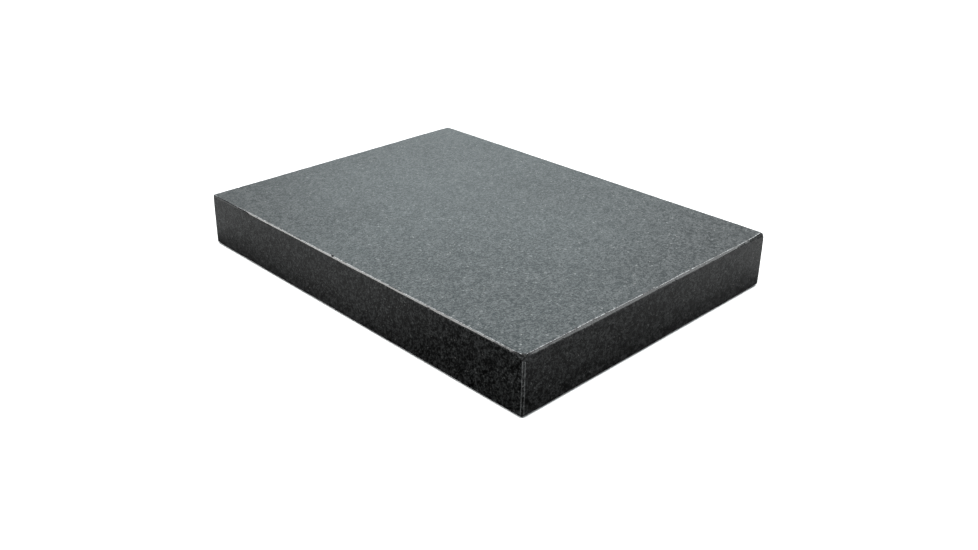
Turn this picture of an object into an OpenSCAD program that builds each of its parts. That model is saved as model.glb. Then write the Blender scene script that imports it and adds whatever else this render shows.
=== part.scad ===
// Granite working slab for leather tooling: one sawn, lapped and bevelled block of dark stone.
// It lies flat on a bench. The origin is at the centre of the underside, +X runs along the
// long side, +Y along the short side, and +Z points up to the working face.

/* [Slab] */
// Length of the slab, along X
slab_length = 304.8; // [200:0.1:450]
// Width of the slab, along Y
slab_width = 228.6; // [150:0.1:350]
// Thickness of the slab, from underside to working face
slab_thickness = 38.1; // [20:0.1:80]

/* [Bevels] */
// Bevel on the two long edges of the working face, measured along each face
top_long_bevel = 1; // [0.4:0.1:4]
// Bevel on the two short edges of the working face
top_short_bevel = 1.4; // [0.4:0.1:4]
// Bevel on the four upright corner edges
corner_bevel = 1; // [0.4:0.1:4]
// Bevel on the four edges of the underside
bottom_bevel = 1.2; // [0.4:0.1:4]

/* [Hidden] */
// Dark grey stone
stone_colour = [0.24, 0.25, 0.25];
// How far a cutting profile runs past the block at each end
overrun = 1;

// The block seen along one horizontal axis: a rectangle on the ground line whose two upper
// and two lower corners are cut at 45 degrees.
module bevelled_elevation(width, height, top_bevel, base_bevel) {
  half = width / 2;
  polygon([
    [-half + base_bevel, 0],
    [half - base_bevel, 0],
    [half, base_bevel],
    [half, height - top_bevel],
    [half - top_bevel, height],
    [-half + top_bevel, height],
    [-half, height - top_bevel],
    [-half, base_bevel]
  ]);
}

// The block seen from above: a rectangle about the origin with its four corners cut.
module bevelled_plan(length, width, bevel) {
  x = length / 2;
  y = width / 2;
  polygon([
    [-x + bevel, -y],
    [x - bevel, -y],
    [x, -y + bevel],
    [x, y - bevel],
    [x - bevel, y],
    [-x + bevel, y],
    [-x, y - bevel],
    [-x, -y + bevel]
  ]);
}

// End elevation, drawn across Y and Z and run along X: it bevels the long edges.
module run_along_length() {
  rotate([90, 0, 90])
    linear_extrude(slab_length + 2 * overrun, center = true)
      bevelled_elevation(slab_width, slab_thickness, top_long_bevel, bottom_bevel);
}

// Front elevation, drawn across X and Z and run along Y: it bevels the short edges.
module run_along_width() {
  rotate([90, 0, 0])
    linear_extrude(slab_width + 2 * overrun, center = true)
      bevelled_elevation(slab_length, slab_thickness, top_short_bevel, bottom_bevel);
}

// Plan, run upwards: it bevels the upright corners.
module run_upwards() {
  translate([0, 0, -overrun])
    linear_extrude(slab_thickness + 2 * overrun)
      bevelled_plan(slab_length, slab_width, corner_bevel);
}

// The whole slab is what the three bevelled outlines have in common.
module granite_slab() {
  color(stone_colour)
    intersection() {
      run_along_length();
      run_along_width();
      run_upwards();
    }
}

granite_slab();
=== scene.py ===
"""Looks of a granite tooling slab: its finished mesh, its stone, the studio and the camera.

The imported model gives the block's size and place. Everything here is in metres, in that frame.
"""

import math
from collections import namedtuple

import bpy
import numpy as np
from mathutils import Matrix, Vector
from mathutils.geometry import delaunay_2d_cdt


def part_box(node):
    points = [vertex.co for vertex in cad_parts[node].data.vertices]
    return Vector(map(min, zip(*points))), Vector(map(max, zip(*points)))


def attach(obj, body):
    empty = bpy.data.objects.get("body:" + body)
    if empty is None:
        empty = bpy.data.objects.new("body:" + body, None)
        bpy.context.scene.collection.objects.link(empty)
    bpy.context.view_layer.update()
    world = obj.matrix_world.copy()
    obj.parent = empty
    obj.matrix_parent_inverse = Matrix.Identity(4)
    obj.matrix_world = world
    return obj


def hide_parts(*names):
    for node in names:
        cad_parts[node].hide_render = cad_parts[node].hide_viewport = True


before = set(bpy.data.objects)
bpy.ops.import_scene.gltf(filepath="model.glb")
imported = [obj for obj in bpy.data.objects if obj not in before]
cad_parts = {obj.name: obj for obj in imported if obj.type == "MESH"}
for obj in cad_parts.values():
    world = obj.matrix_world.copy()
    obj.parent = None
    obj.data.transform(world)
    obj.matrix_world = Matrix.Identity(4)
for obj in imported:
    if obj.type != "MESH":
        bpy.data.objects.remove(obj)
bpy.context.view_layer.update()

MM = 0.001
NODE = "granite_slab"
LOW, HIGH = (np.array(corner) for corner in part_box(NODE))
SIZE = HIGH - LOW
CENTRE = (LOW + HIGH) / 2
# One stream of random numbers for the grinding and the chips, and one for the pale edge strips of wear
# and painted highlight, and the flares
rng = np.random.default_rng(12)
wear_highlight_and_flare_rng = np.random.default_rng(2137)

# ---------------------------------------------------------------- the bevels
# A box edge is named by the two faces that meet in it. A face is (axis, side): side 0 is the
# low end of that axis and 1 the high end. Each bevel has one leg on each of its two faces.
X, Y, Z = 0, 1, 2
FACES = [(axis, side) for axis in (X, Y, Z) for side in (0, 1)]
FRONT_TOP = ((Y, 0), (Z, 1))
RIGHT_TOP = ((X, 1), (Z, 1))
TOP_LONG_LEG = 1.0 * MM
TOP_SHORT_LEG = 1.4 * MM
CORNER_LEG = 1.0 * MM
BOTTOM_LEG = 1.2 * MM
# The blow on the front upper corner: its reach along the two top edges, and down the sharp corner
KNOCK_LEG = 4.5 * MM
KNOCK_DROP = 4.2 * MM
# A bevel widens towards each end by a share of its leg, up to this one, over about this length
FLARE = 0.6
FLARE_LENGTH = 7 * MM
# The right bevel of the working face widens by this share at its far end
BROAD_END = 1.0
# The front bevel of the working face is steep at its left end: its leg on that face is this share
# of the full leg as far as the first of two distances from the end, and full from the second
STEEP_SHARE = 0.4
STEEP_END = (34 * MM, 50 * MM)
# Hand grinding: waves along the edge as (wavelength, share of the leg)
GRINDING_WAVES = ((96 * MM, 0.08), (41 * MM, 0.05), (17 * MM, 0.03), (7 * MM, 0.02))
# How much the second leg's waves differ from the first's, which tilts the bevel a little
TILT_SHARE = 0.2
# How far the sharp line between a face and its bevel is eased
EASE = 0.2 * MM
# Reach of the pale strip to each side of that line, partly wear and partly painted highlight, on the
# underside's bevels and the others
BOTTOM_WEAR_AND_HIGHLIGHT_REACH = 0.2 * MM
WEAR_AND_HIGHLIGHT_REACH = 0.1 * MM
# The pale strip of wear and painted highlight comes and goes in waves along the edge, and where they
# add up to less than this it is gone
WEAR_AND_HIGHLIGHT_WAVES = ((170 * MM, 0.5), (63 * MM, 0.35), (23 * MM, 0.2), (9 * MM, 0.15))
NO_WEAR_AND_HIGHLIGHT = -0.6
# Where a chip or the knock cuts this deep below a bevel, the bevel's pale strip of wear and painted
# highlight is gone
CUT_AWAY = 0.15 * MM


class Bevel:
    """One bevelled edge of the block, running along one axis, with legs that wander a little."""

    def __init__(self, first, second, leg):
        self.faces = (first, second)
        # A bevel of the working face has its pale strip of wear and painted highlight only along its
        # line with that face
        self.wear_and_highlight_faces = [(Z, 1)] if (Z, 1) in self.faces else self.faces
        self.wear_and_highlight = BOTTOM_WEAR_AND_HIGHLIGHT_REACH if (Z, 0) in self.faces else WEAR_AND_HIGHLIGHT_REACH
        self.ground_finish = "ground_bevel"
        # The line finishes are pale strips along the eased edge: partly wear, partly painted highlight
        self.line_finish = "wear_and_painted_highlight_top_line"
        if (Z, 0) in self.faces:
            self.line_finish = "wear_and_painted_highlight_bottom_line"
        elif (Z, 1) not in self.faces:
            self.ground_finish = "ground_corner"
            self.line_finish = "wear_and_painted_highlight_corner_line"
        self.along = ({X, Y, Z} - {first[0], second[0]}).pop()
        self.leg = leg
        self.phases = rng.uniform(0, 2 * math.pi, (2, len(GRINDING_WAVES)))
        self.flares = wear_highlight_and_flare_rng.uniform(0, FLARE, 2)
        if self.faces == RIGHT_TOP:
            self.flares[1] = BROAD_END
        self.wear_and_highlight_phases = wear_highlight_and_flare_rng.uniform(0, 2 * math.pi, len(WEAR_AND_HIGHLIGHT_WAVES))

    def legs(self, points):
        """Leg on the first face and leg on the second, at each point's place along the edge."""
        s = points[:, self.along]
        width, tilt = (waves(s, GRINDING_WAVES, phases) for phases in self.phases)
        for flare, end in zip(self.flares, (LOW, HIGH)):
            width = width + flare * np.exp(-np.abs(s - end[self.along]) / FLARE_LENGTH)
        leg_1, leg_2 = self.leg * (1 + width), self.leg * (1 + width + TILT_SHARE * tilt)
        if self.faces == FRONT_TOP:
            leg_2 = leg_2 * np.interp(s - LOW[self.along], STEEP_END, (STEEP_SHARE, 1))
        return leg_1, leg_2

    def outside(self, points):
        """Distance of each point outside the bevel's plane; negative is inside the stone."""
        leg_1, leg_2 = self.legs(points)
        depth_1 = depth(points, self.faces[0])
        depth_2 = depth(points, self.faces[1])
        reach = 1 - depth_2 / leg_1 - depth_1 / leg_2
        return reach / np.sqrt(leg_1**-2 + leg_2**-2)

    def at_wear_and_highlight_line(self, points):
        """True where a point of the surface is in the bevel's pale strip of wear and painted highlight.
        """
        own = self.outside(points)
        gaps = [np.abs(own + depth(points, face)) for face in self.wear_and_highlight_faces]
        wear_and_highlight = waves(points[:, self.along], WEAR_AND_HIGHLIGHT_WAVES, self.wear_and_highlight_phases) > NO_WEAR_AND_HIGHLIGHT
        return wear_and_highlight & (np.min(gaps, axis=0) < self.wear_and_highlight) & (own > -CUT_AWAY)


class Knock:
    """A corner of the block that a blow has blunted, leaving one small facet."""

    ground_finish = "ground_corner"

    def __init__(self, *faces):
        self.faces = faces

    def outside(self, points):
        """Distance of each point outside the facet's plane."""
        legs = (KNOCK_LEG, KNOCK_LEG, KNOCK_DROP)
        reach = 1 - sum(depth(points, face) / leg for face, leg in zip(self.faces, legs))
        return reach / math.sqrt(sum(leg**-2 for leg in legs))


def waves(s, shares, phases):
    """A sum of sine waves along an edge, each given as (wavelength, height)."""
    return sum(
        share * np.sin(2 * math.pi * s / wave + phase) for (wave, share), phase in zip(shares, phases)
    )


def depth(points, face):
    """How far each point is below one of the block's six faces."""
    axis, side = face
    return HIGH[axis] - points[:, axis] if side else points[:, axis] - LOW[axis]


def make_bevels():
    """All twelve, keyed by the pair of faces that each one joins."""
    made = {}
    for side in (0, 1):
        made[(Y, side), (Z, 1)] = Bevel((Y, side), (Z, 1), TOP_LONG_LEG)
        made[(X, side), (Z, 1)] = Bevel((X, side), (Z, 1), TOP_SHORT_LEG)
        made[(Y, side), (Z, 0)] = Bevel((Y, side), (Z, 0), BOTTOM_LEG)
        made[(X, side), (Z, 0)] = Bevel((X, side), (Z, 0), BOTTOM_LEG)
        for other in (0, 1):
            made[(X, side), (Y, other)] = Bevel((X, side), (Y, other), CORNER_LEG)
    return made


bevels = make_bevels()
cuts = list(bevels.values()) + [Knock((X, 1), (Y, 0), (Z, 1))]

# ---------------------------------------------------------------- small chips on the edges
CHIPS_PER_BEVEL = {X: 3, Y: 2, Z: 1}
CHIP_BALL = (1.1 * MM, 2.4 * MM)
CHIP_DEPTH = (0.12 * MM, 0.34 * MM)
# Chips keep this far from the ends of their bevel
CHIP_CLEAR = 9 * MM
# The ball's centre lies out from the line: mostly straight out of the line's own face, and partly
# out of the bevel's other face
CHIP_LEAN = (0.92, 0.38)


def make_chips():
    """Shallow shell-shaped bites, each cut by a ball that dips into a bevel's upper or lower line."""
    chips = []
    for bevel in bevels.values():
        along = bevel.along
        for _ in range(CHIPS_PER_BEVEL[along]):
            ball = rng.uniform(*CHIP_BALL)
            bite = rng.uniform(*CHIP_DEPTH)
            at = np.zeros(3)
            at[along] = rng.uniform(LOW[along] + CHIP_CLEAR, HIGH[along] - CHIP_CLEAR)
            on_first = rng.random() < 0.5
            face, other = bevel.faces if on_first else bevel.faces[::-1]
            out = np.zeros(3)
            for (axis, side), share in zip((face, other), CHIP_LEAN):
                out[axis] = share if side else -share
                at[axis] = (HIGH if side else LOW)[axis]
            at[other[0]] -= math.copysign(bevel.leg, out[other[0]])
            chips.append((at + out * (ball - bite), ball, along, at[along]))
    return chips


chips = make_chips()


def outside(points):
    """Signed distance outside the finished stone: faces and cuts, eased where they meet, and chips."""
    walls = [-depth(points, face) for face in FACES]
    walls += [cut.outside(points) for cut in cuts]
    walls = np.sort(np.stack(walls), axis=0)
    first, second = walls[-1], walls[-2]
    eased = first + np.maximum(EASE - (first - second), 0) ** 2 / (4 * EASE)
    for centre, ball, _, _ in chips:
        eased = np.maximum(eased, ball - np.linalg.norm(points - centre, axis=1))
    return eased


# ---------------------------------------------------------------- the mesh
# A polygon that lies this far below its face belongs to a bevel, the knock or a chip
SUNK = 0.02 * MM
# Lines near an edge, as multiples of the bevel's leg there: 1 is the line where the bevel starts
LEG_LINES = (0, 0.45, 0.78, 0.89, 1.0, 1.11, 1.25)
# The inner border of the band of fine mesh along each edge, and the lines between the last of the
# lines above and that border, as shares of the way
BAND = 5.5 * MM
BAND_SHARES = (0.11, 0.23, 0.39, 0.65)
NEAR_LINES = [(k, 0) for k in LEG_LINES] + [(LEG_LINES[-1], share) for share in BAND_SHARES]
# The leg that the near lines are laid out for, before they follow each bevel
NOMINAL_LEG = 1.4 * MM
# Lines across an edge: spacing, places about the middle of a chip in millimetres, and least gap
STATION = 1.7 * MM
CHIP_LINES = (-1.5, -1.1, -0.75, -0.4, 0, 0.4, 0.75, 1.1, 1.5)
LEAST_GAP = 0.2 * MM
# Halvings in the search for the finished surface; the last step is far below a micrometre
BISECTIONS = 34


def line_depth(leg, multiple, share):
    """How far in from the edge a near line runs, where the bevel has this leg."""
    reach = leg * multiple
    return reach + share * (BAND - reach)


def axis_lines(axis):
    """Places of the mesh lines across one axis, and each one's multiple and share (or none)."""
    near = [line_depth(NOMINAL_LEG, *line) for line in NEAR_LINES]
    low, high = LOW[axis] + BAND, HIGH[axis] - BAND
    middle = set(np.linspace(low, high, round((high - low) / STATION) + 1).round(7))
    for _, _, along, at in chips:
        if along == axis:
            middle |= {round(at + k * MM, 7) for k in CHIP_LINES}
    middle = sorted(middle)
    kept = [middle[0]]
    for place in middle[1:]:
        if place - kept[-1] > LEAST_GAP:
            kept.append(place)
    kept[-1] = high
    places = [LOW[axis] + s for s in near] + kept + [HIGH[axis] - s for s in reversed(near)]
    blank = [(np.nan, np.nan)] * len(kept)
    return np.array(places), np.array(NEAR_LINES + blank + NEAR_LINES[::-1])


lines = [axis_lines(axis) for axis in (X, Y, Z)]
BORDER = len(NEAR_LINES)


def find_bevel(face, other):
    """The bevel between two faces, and which of its legs lies on the first of them."""
    if (face, other) in bevels:
        return bevels[face, other], 0
    return bevels[other, face], 1


def face_points(face):
    """The face's grid points on the plain block, with the lines near each edge following its bevel."""
    axis, side = face
    a, b = (k for k in (X, Y, Z) if k != axis)
    grid_a, grid_b = np.meshgrid(lines[a][0], lines[b][0], indexing="ij")
    points = np.zeros(grid_a.shape + (3,))
    points[..., a], points[..., b] = grid_a, grid_b
    points[..., axis] = (HIGH if side else LOW)[axis]
    flat = points.reshape(-1, 3)
    moved = flat.copy()
    for across in (a, b):
        kinds = lines[across][1][:, None] if across == a else lines[across][1][None, :]
        multiple, share = np.broadcast_to(kinds, grid_a.shape + (2,)).reshape(-1, 2).T
        for end in (0, 1):
            bevel, which = find_bevel(face, (across, end))
            inward = line_depth(bevel.legs(flat)[which], multiple, share)
            near = np.isfinite(multiple) & (depth(flat, (across, end)) < BAND)
            placed = HIGH[across] - inward if end else LOW[across] + inward
            moved[near, across] = placed[near]
    return moved.reshape(points.shape)


def pull_in(points):
    """Moves points of the plain block's surface straight in until they lie on the finished stone."""
    core = np.clip(points, LOW + BAND, HIGH - BAND)
    reach = points - core
    near, far = np.zeros(len(points)), np.ones(len(points))
    for _ in range(BISECTIONS):
        middle = (near + far) / 2
        out = outside(core + reach * middle[:, None]) > 0
        far = np.where(out, middle, far)
        near = np.where(out, near, middle)
    return core + reach * near[:, None]


def build_surface():
    """Vertices, polygons and the face that each polygon belongs to."""
    keys, places, polygons, owners = {}, [], [], []

    def vertex(key, place):
        if key not in keys:
            keys[key] = len(places)
            places.append([])
        places[keys[key]].append(place)
        return keys[key]

    for face in FACES:
        axis, side = face
        a, b = (k for k in (X, Y, Z) if k != axis)
        n_a, n_b = len(lines[a][0]), len(lines[b][0])
        last = len(lines[axis][0]) - 1
        points = face_points(face)
        index = -np.ones((n_a, n_b), int)
        for i in range(n_a):
            for j in range(n_b):
                if BORDER < i < n_a - 1 - BORDER and BORDER < j < n_b - 1 - BORDER:
                    continue
                key = [0, 0, 0]
                key[a], key[b], key[axis] = i, j, last * side
                index[i, j] = vertex(tuple(key), points[i, j])
        outward = (side == 1) == (axis != Y)
        for i in range(n_a - 1):
            for j in range(n_b - 1):
                quad = [index[i, j], index[i + 1, j], index[i + 1, j + 1], index[i, j + 1]]
                inner = BORDER <= i < n_a - 1 - BORDER and BORDER <= j < n_b - 1 - BORDER
                if not inner:
                    polygons.append(quad if outward else quad[::-1])
                    owners.append(face)
        for triangle in fill(face, index, points, vertex):
            polygons.append(triangle if outward else triangle[::-1])
            owners.append(face)
    return np.array([np.mean(p, axis=0) for p in places]), polygons, owners


# Rings of points inside a face's band, each as (distance from the band, spacing)
FILL_RINGS = ((2.4 * MM, 3.2 * MM), (6.5 * MM, 6 * MM), (12.5 * MM, 11 * MM))
FILL_GRID = 15 * MM
# Points closer than this, in metres, count as one
SAME_POINT = 1e-7


def fill(face, index, points, vertex):
    """Triangles over the flat middle of a face, fine at its border and coarse inside."""
    axis, side = face
    a, b = (k for k in (X, Y, Z) if k != axis)
    i_low, i_high = BORDER, index.shape[0] - 1 - BORDER
    j_low, j_high = BORDER, index.shape[1] - 1 - BORDER
    rim = [(i, j_low) for i in range(i_low, i_high)]
    rim += [(i_high, j) for j in range(j_low, j_high)]
    rim += [(i, j_high) for i in range(i_high, i_low, -1)]
    rim += [(i_low, j) for j in range(j_high, j_low, -1)]
    flat = [Vector((points[i, j, a], points[i, j, b])) for i, j in rim]
    ids = [int(index[i, j]) for i, j in rim]
    low = np.array([LOW[a], LOW[b]]) + BAND
    high = np.array([HIGH[a], HIGH[b]]) - BAND

    def add(place):
        spot = np.zeros(3)
        spot[a], spot[b], spot[axis] = place[0], place[1], (HIGH if side else LOW)[axis]
        flat.append(Vector(place))
        ids.append(vertex((face, len(flat)), spot))

    for inset, spacing in FILL_RINGS:
        ring_low, ring_high = low + inset, high - inset
        if (ring_high - ring_low).min() < spacing / 2:
            break
        counts = np.maximum(np.round((ring_high - ring_low) / spacing).astype(int), 1)
        u = np.linspace(ring_low[0], ring_high[0], counts[0] + 1)
        v = np.linspace(ring_low[1], ring_high[1], counts[1] + 1)
        for place in [(x, v[0]) for x in u[:-1]] + [(u[-1], y) for y in v[:-1]]:
            add(place)
        for place in [(x, v[-1]) for x in u[:0:-1]] + [(u[0], y) for y in v[:0:-1]]:
            add(place)
    else:
        grid_low, grid_high = low + inset + FILL_GRID, high - inset - FILL_GRID
        if (grid_high - grid_low).min() > 0:
            counts = np.round((grid_high - grid_low) / FILL_GRID).astype(int) + 1
            for x in np.linspace(grid_low[0], grid_high[0], counts[0]):
                for y in np.linspace(grid_low[1], grid_high[1], counts[1]):
                    add((x, y))
    n = len(rim)
    border = [(k, (k + 1) % n) for k in range(n)]
    _, _, triangles, origin, _, _ = delaunay_2d_cdt(flat, border, [], 0, SAME_POINT)
    for triangle in triangles:
        yield [ids[origin[k][0]] for k in triangle]


def build_slab():
    """The finished block as one closed mesh, with a material for each of its finishes."""
    places, polygons, owners = build_surface()
    places = pull_in(places)
    mesh = bpy.data.meshes.new("stone")
    mesh.from_pydata(places.tolist(), [], polygons)
    for finish in FINISHES:
        mesh.materials.append(granite(finish))
    names = [finish.name for finish in FINISHES]
    centres = np.array([polygon.center for polygon in mesh.polygons])
    plain = {(Z, 1): "lapped_face", (Z, 0): "sawn_underside"}
    chosen = np.array([names.index(plain.get(face, "honed_side")) for face in owners])
    sunk = np.array([depth(c[None], face)[0] for c, face in zip(centres, owners)]) > SUNK
    nearest = np.argmax([cut.outside(centres) for cut in cuts], axis=0)
    grounds = np.array([names.index(cut.ground_finish) for cut in cuts])
    chosen[sunk] = grounds[nearest[sunk]]
    # Pale strips along the bevels' edges, partly wear and partly painted highlight
    for bevel in bevels.values():
        chosen[bevel.at_wear_and_highlight_line(centres)] = names.index(bevel.line_finish)
    for polygon, index in zip(mesh.polygons, chosen):
        polygon.material_index = int(index)
        polygon.use_smooth = True
    slab = bpy.data.objects.new("stone_block", mesh)
    bpy.context.scene.collection.objects.link(slab)
    return slab


# ---------------------------------------------------------------- the stone
# Each finish: tones of the darkest and palest grains of the ground mass, how far up the range of
# grains the dark ones reach, brightness of the scattered crystals and glints, roughness, specular
# level, specular tint and strength of the relief
Finish = namedtuple("Finish", "name dark pale darks grain roughness specular tint relief")
FINISHES = (
    Finish("lapped_face", 0.0, 0.076, 0.34, 1.0, 0.38, 0.45, (0.86, 1.0, 1.05), 0.3),
    Finish("honed_side", 0.0, 0.022, 0.46, 0.28, 0.36, 0.065, (1.0, 1.0, 1.0), 0.55),
    Finish("ground_bevel", 0.0, 0.02, 0.35, 0.4, 0.09, 0.25, (1.0, 1.0, 1.0), 0.06),
    Finish("ground_corner", 0.0, 0.026, 0.35, 0.4, 0.3, 0.16, (1.0, 1.0, 1.0), 0.12),
    Finish("sawn_underside", 0.01, 0.2, 0.2, 2.0, 0.7, 0.3, (1.0, 1.0, 1.0), 0.5),
    # The three line finishes are pale strips along the bevels' edges: partly wear, partly painted
    # highlight in place of the light that the eased edges catch
    Finish("wear_and_painted_highlight_top_line", 0.03, 0.48, 0.2, 1.4, 0.35, 0.5, (1.0, 1.0, 1.0), 0.2),
    Finish("wear_and_painted_highlight_bottom_line", 0.0, 0.11, 0.2, 0.8, 0.35, 0.3, (1.0, 1.0, 1.0), 0.2),
    Finish("wear_and_painted_highlight_corner_line", 0.055, 0.11, 0.2, 0.4, 0.35, 0.2, (1.0, 1.0, 1.0), 0.2),
)
GROUND_TINT = (0.98, 1.015, 1.02)
GRAIN_TINT = (0.98, 1.02, 1.0)
GLINT_TINT = (1.0, 0.98, 0.94)
# Layers of the ground mass: grains or soft patches per metre, and weight in its tone
SMALL_GRAINS, SMALL_WEIGHT = 1450, 0.52
LATHS, LATH_WEIGHT = 1100, 0.34
LARGE_GRAINS, LARGE_WEIGHT = 540, 0.1
CLOUDS, CLOUD_WEIGHT = 130, 0.22
# The laths and the large grains lie in turned spaces, and run longest where the scale is smallest
LATH_TURN, LATH_SCALE = (0.4, 0.9, 0.3), (1, 0.45, 0.45)
LARGE_TURN, LARGE_SCALE = (-0.8, 0.2, 1.2), (0.6, 1, 0.6)
# From this tone up, the grains are all of the palest tone
ALL_PALE = 0.9
# Scattered crystals and pale glints: cells per metre, share of the cells that hold one, and tone
CRYSTALS, CRYSTAL_SHARE, CRYSTAL_TONE = 1050, 0.02, 0.17
GLINTS, GLINT_SHARE, GLINT_TONE = 1500, 0.006, 0.42
# The dimmest crystal or glint as a share of the brightest, and how sharply the cells are picked
DIMMEST, PICK_STEP = 0.3, 0.01
# A noise this fine and strong makes the borders of the grains uneven
JITTER, JITTER_REACH = 900, 0.7 * MM
# Roughness varies finely from grain to grain and broadly with handling, by this much each way
GLOSS_GRAIN, GLOSS_HANDLING, GLOSS_RANGE = 1300, 14, 0.04
# Weight of the handling beside the grain, and the sums that give the least and the most roughness
HANDLING_WEIGHT, GLOSSIEST, DULLEST = 0.7, 0.6, 1.1
# Pits of the relief per metre, the laths' share in it, and the height that a strength of 1 gives it
RELIEF_GRAIN, RELIEF_LATHS, RELIEF_HEIGHT = 1700, 0.4, 0.1 * MM


class Nodes:
    """A short way to make and join the nodes of one material."""

    def __init__(self, tree):
        self.tree = tree

    def add(self, kind, settings=None, **inputs):
        node = self.tree.nodes.new(kind)
        for name, value in (settings or {}).items():
            setattr(node, name, value)
        for name, value in inputs.items():
            self.put(node.inputs[name.replace("_", " ")], value)
        return node

    def put(self, socket, value):
        if isinstance(value, bpy.types.NodeSocket):
            self.tree.links.new(value, socket)
        else:
            socket.default_value = value

    def maths(self, operation, first, second=0.0):
        node = self.add("ShaderNodeMath", {"operation": operation})
        self.put(node.inputs[0], first)
        self.put(node.inputs[1], second)
        return node.outputs[0]

    def ramp(self, value, low, high, to_low=0.0, to_high=1.0):
        """A smooth step between two values."""
        node = self.add("ShaderNodeMapRange", {"interpolation_type": "SMOOTHSTEP"})
        for name, v in (("Value", value), ("From Min", low), ("From Max", high)):
            self.put(node.inputs[name], v)
        node.inputs["To Min"].default_value = to_low
        node.inputs["To Max"].default_value = to_high
        return node.outputs["Result"]

    def mix(self, share, first, second):
        node = self.add("ShaderNodeMix", {"data_type": "RGBA"})
        self.put(node.inputs["Factor"], share)
        colours = [socket for socket in node.inputs if socket.type == "RGBA"]
        self.put(colours[0], first)
        self.put(colours[1], second)
        return next(socket for socket in node.outputs if socket.type == "RGBA")

    def noise(self, where, per_metre, detail=2.0):
        node = self.add("ShaderNodeTexNoise", Vector=where, Scale=per_metre, Detail=detail)
        return node.outputs["Fac"]

    def stretched(self, where, turn, scale):
        """The same place in a turned and stretched space, so that cells in it become laths."""
        node = self.add("ShaderNodeMapping", {"vector_type": "POINT"}, Vector=where)
        node.inputs["Rotation"].default_value = turn
        node.inputs["Scale"].default_value = scale
        return node.outputs["Vector"]

    def cells(self, where, per_metre):
        """Crystals of about one size: two random numbers for each, the same all over it."""
        cell = self.add("ShaderNodeTexVoronoi", Vector=where, Scale=per_metre)
        parts = self.add("ShaderNodeSeparateColor", Color=cell.outputs["Color"])
        return parts.outputs["Red"], parts.outputs["Green"]

    def grains(self, where, per_metre, share):
        """Scattered crystals, each one flat tone. Only this share of the cells holds one."""
        pick, tone = self.cells(where, per_metre)
        shown = self.ramp(pick, 1 - share, 1 - share + PICK_STEP)
        return self.maths("MULTIPLY", shown, self.ramp(tone, 0, 1, DIMMEST, 1))


def shade(value, tint):
    return (value * tint[0], value * tint[1], value * tint[2], 1.0)


def granite(finish):
    """Fine black granite: a dark ground mass, grey feldspar laths and crystals, a few pale glints."""
    material = bpy.data.materials.new(finish.name)
    material.use_nodes = True
    tree = material.node_tree
    tree.nodes.clear()
    n = Nodes(tree)
    plain = n.add("ShaderNodeTexCoord").outputs["Object"]
    jitter = n.add("ShaderNodeTexNoise", Vector=plain, Scale=JITTER, Detail=2)
    shift = n.add("ShaderNodeVectorMath", {"operation": "MULTIPLY_ADD"})
    n.put(shift.inputs[0], jitter.outputs["Color"])
    shift.inputs[1].default_value = (JITTER_REACH,) * 3
    n.put(shift.inputs[2], plain)
    where = shift.outputs["Vector"]

    # The ground mass: interlocked grains of every tone, in three sizes, over soft clouds
    small, _ = n.cells(where, SMALL_GRAINS)
    laths, _ = n.cells(n.stretched(where, LATH_TURN, LATH_SCALE), LATHS)
    large, _ = n.cells(n.stretched(where, LARGE_TURN, LARGE_SCALE), LARGE_GRAINS)
    clouds = n.noise(plain, CLOUDS, 4)
    tone = n.maths("MULTIPLY", small, SMALL_WEIGHT)
    for layer, weight in ((laths, LATH_WEIGHT), (large, LARGE_WEIGHT), (clouds, CLOUD_WEIGHT)):
        tone = n.maths("ADD", tone, n.maths("MULTIPLY", layer, weight))
    tone = n.ramp(tone, finish.darks, ALL_PALE)
    colour = n.mix(tone, shade(finish.dark, GROUND_TINT), shade(finish.pale, GROUND_TINT))
    crystals = n.grains(where, CRYSTALS, CRYSTAL_SHARE)
    colour = n.mix(crystals, colour, shade(CRYSTAL_TONE * finish.grain, GRAIN_TINT))
    glints = n.grains(where, GLINTS, GLINT_SHARE)
    colour = n.mix(glints, colour, shade(GLINT_TONE * finish.grain, GLINT_TINT))

    handling = n.maths("MULTIPLY", n.noise(plain, GLOSS_HANDLING, 3), HANDLING_WEIGHT)
    polish = n.maths("ADD", n.noise(plain, GLOSS_GRAIN, 2), handling)
    least, most = finish.roughness - GLOSS_RANGE, finish.roughness + GLOSS_RANGE
    sheen = n.ramp(polish, GLOSSIEST, DULLEST, least, most)
    ridges = n.maths("MULTIPLY", laths, RELIEF_LATHS)
    height = n.maths("ADD", ridges, n.noise(plain, RELIEF_GRAIN, 2))
    bump = n.add("ShaderNodeBump", Strength=finish.relief, Distance=RELIEF_HEIGHT, Height=height)
    shader = n.add("ShaderNodeBsdfPrincipled", Base_Color=colour, Roughness=sheen)
    shader.inputs["Specular IOR Level"].default_value = finish.specular
    shader.inputs["Specular Tint"].default_value = (*finish.tint, 1)
    n.put(shader.inputs["Normal"], bump.outputs["Normal"])
    out = n.add("ShaderNodeOutputMaterial")
    n.put(out.inputs["Surface"], shader.outputs["BSDF"])
    return material


# ---------------------------------------------------------------- the studio
def direction(azimuth, elevation):
    """Unit vector from the slab: azimuth 0 points to -Y and 90 to +X, elevation is above the floor."""
    a, e = math.radians(azimuth), math.radians(elevation)
    return Vector((math.sin(a) * math.cos(e), -math.cos(a) * math.cos(e), math.sin(e)))


FLOOR_SIZE, FLOOR_SHADE, FLOOR_ROUGHNESS, FLOOR_GLOSS = 24, 0.88, 0.9, 0.1
# The floor and the card lie this far below the block, so that no surfaces coincide
FLOOR_GAP, CARD_GAP = 0.05 * MM, 0.02 * MM


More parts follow.
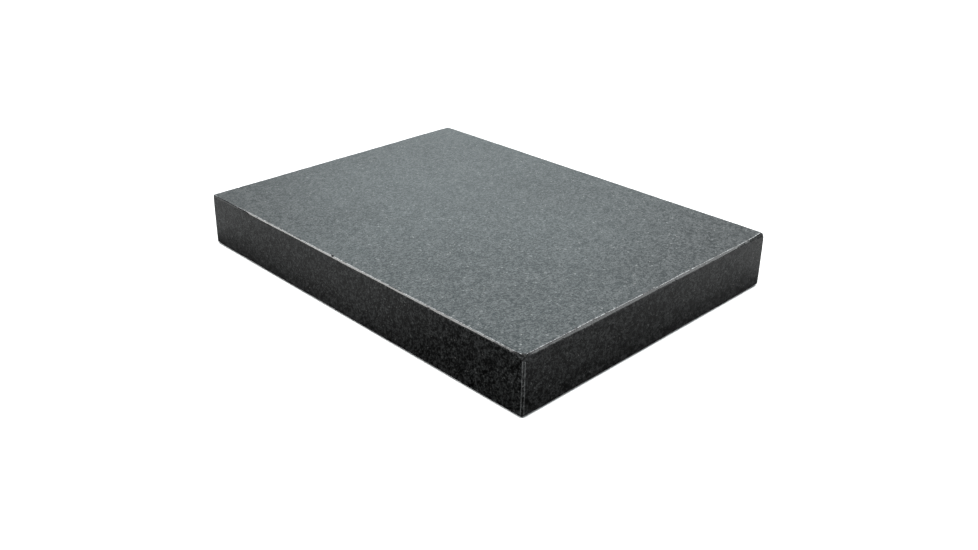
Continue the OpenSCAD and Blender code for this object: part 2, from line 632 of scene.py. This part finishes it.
def make_floor():
    bpy.ops.mesh.primitive_plane_add(size=FLOOR_SIZE, location=(0, 0, LOW[Z] - FLOOR_GAP))
    floor = bpy.context.object
    floor.name = "floor"
    material = bpy.data.materials.new("floor_white")
    material.use_nodes = True
    shader = material.node_tree.nodes["Principled BSDF"]
    shader.inputs["Base Color"].default_value = (FLOOR_SHADE,) * 3 + (1,)
    shader.inputs["Roughness"].default_value = FLOOR_ROUGHNESS
    shader.inputs["Specular IOR Level"].default_value = FLOOR_GLOSS
    floor.data.materials.append(material)


# Soft dark spots of painted shade on the card, which the block's sides show in their reflections:
# place, dark radius, outer radius, and the shade in its middle as a share of the floor's. The first
# lies at the front corner and the second by the short side.
PAINTED_SHADE_SPOTS = (
    ((HIGH[X] - 0.042, LOW[Y] - 0.031, 0), 0.03, 0.13, 0.04),
    ((HIGH[X] + 0.03, LOW[Y] + 0.085, 0), 0.02, 0.13, 0.58),
)
# The painted shadow at the foot of the block, also as a share of the floor's, and how far out it fades
FOOT_PAINTED_SHADOW, FOOT_REACH = 0.22, 0.03
CARD_SIZE = 1.2


def make_painted_shade_card():
    """A card on the floor, painted dark as shadow by the block and pale as the floor beyond. Only
    reflections show it.
    """
    bpy.ops.mesh.primitive_plane_add(size=CARD_SIZE, location=(0, 0, LOW[Z] - CARD_GAP))
    card = bpy.context.object
    card.name = "painted_shade_card"
    material = bpy.data.materials.new("painted_shade_card_grey")
    material.use_nodes = True
    n = Nodes(material.node_tree)
    place = n.add("ShaderNodeTexCoord").outputs["Object"]
    parts = n.add("ShaderNodeSeparateXYZ", Vector=place)
    beyond_x = n.maths("SUBTRACT", n.maths("ABSOLUTE", parts.outputs["X"]), SIZE[X] / 2)
    beyond_y = n.maths("SUBTRACT", n.maths("ABSOLUTE", parts.outputs["Y"]), SIZE[Y] / 2)
    painted_shade_here = n.ramp(n.maths("MAXIMUM", beyond_x, beyond_y), 0, FOOT_REACH, FOOT_PAINTED_SHADOW, 1)
    for spot, inner, outer, share in PAINTED_SHADE_SPOTS:
        gap = n.add("ShaderNodeVectorMath", {"operation": "DISTANCE"})
        n.put(gap.inputs[0], place)
        gap.inputs[1].default_value = spot
        fade = n.ramp(gap.outputs["Value"], inner, outer, share, 1)
        painted_shade_here = n.maths("MULTIPLY", painted_shade_here, fade)
    shader = material.node_tree.nodes["Principled BSDF"]
    n.put(shader.inputs["Base Color"], n.maths("MULTIPLY", painted_shade_here, FLOOR_SHADE))
    shader.inputs["Roughness"].default_value = FLOOR_ROUGHNESS
    shader.inputs["Specular IOR Level"].default_value = FLOOR_GLOSS
    card.data.materials.append(material)
    card.visible_camera = False
    card.visible_diffuse = False
    card.visible_shadow = False


LAMP_DISTANCE = 5.0


def softbox(name, azimuth, elevation, width, height, radiance, colour):
    """An area light of a given brightness, aimed at the slab. Width and height are in degrees."""
    data = bpy.data.lights.new(name, "AREA")
    data.shape = "RECTANGLE"
    data.size, data.size_y = (
        2 * LAMP_DISTANCE * math.tan(math.radians(angle / 2)) for angle in (width, height)
    )
    data.energy = radiance * data.size * data.size_y * math.pi
    data.color = colour
    lamp = bpy.data.objects.new(name, data)
    toward = direction(azimuth, elevation)
    lamp.location = Vector(CENTRE) + toward * LAMP_DISTANCE
    lamp.rotation_euler = toward.to_track_quat("Z", "Y").to_euler()
    lamp.visible_camera = False
    bpy.context.scene.collection.objects.link(lamp)


WORLD_COLOUR, WORLD_STRENGTH = (0.93, 0.985, 1.0, 1), 0.6


def make_world():
    world = bpy.data.worlds.new("studio")
    world.use_nodes = True
    background = world.node_tree.nodes["Background"]
    background.inputs["Color"].default_value = WORLD_COLOUR
    background.inputs["Strength"].default_value = WORLD_STRENGTH
    bpy.context.scene.world = world


# Where the camera looks from, its distance from the point it aims at, and how far left of the
# block's centre and below it that point lies. The last three are in lengths of the block.
CAMERA_AZIMUTH, CAMERA_ELEVATION = 47.13, 24.76
CAMERA_DISTANCE, AIM_LEFT, AIM_DOWN = 2.2535, 0.059, 0.0174
# Focal length and sensor width in millimetres. The small shift only centres the block.
CAMERA_LENS, SENSOR = 36.64, 36
SHIFT_X, SHIFT_Y = 0.04, -0.03


def make_camera():
    """Above the slab's front right corner, close, as a hand-held product shot is."""
    data = bpy.data.cameras.new("camera")
    data.sensor_width = SENSOR
    data.lens = CAMERA_LENS
    data.shift_x, data.shift_y = SHIFT_X, SHIFT_Y
    camera = bpy.data.objects.new("camera", data)
    back = direction(CAMERA_AZIMUTH, CAMERA_ELEVATION)
    turn = back.to_track_quat("Z", "Y")
    right, up = turn @ Vector((1, 0, 0)), turn @ Vector((0, 1, 0))
    length = SIZE[X]
    aim = Vector(CENTRE) - right * AIM_LEFT * length - up * AIM_DOWN * length
    camera.location = aim + back * CAMERA_DISTANCE * length
    camera.rotation_mode = "QUATERNION"
    camera.rotation_quaternion = turn
    bpy.context.scene.collection.objects.link(camera)
    bpy.context.scene.camera = camera


bpy.context.scene.view_settings.view_transform = "Standard"
make_camera()
make_world()
make_floor()
# A card of painted shadow and shade, which only the block's reflections show
make_painted_shade_card()
# Each lamp's name, azimuth, elevation, width, height, radiance and colour
softbox("key", -56, 34.5, 17, 17, 14.0, (1.0, 0.99, 0.98))
softbox("back", -134, 27, 24, 16, 1.95, (0.84, 0.98, 1.0))
softbox("back_right", 147, 31.5, 17, 13, 5.2, (0.97, 0.99, 1.0))
softbox("rim", 178, 42, 28, 18, 6.0, (1.0, 1.0, 1.0))
softbox("overhead", 47, 76, 36, 36, 8.4, (1.0, 1.0, 1.0))

slab = build_slab()
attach(slab, "root")
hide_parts(NODE)
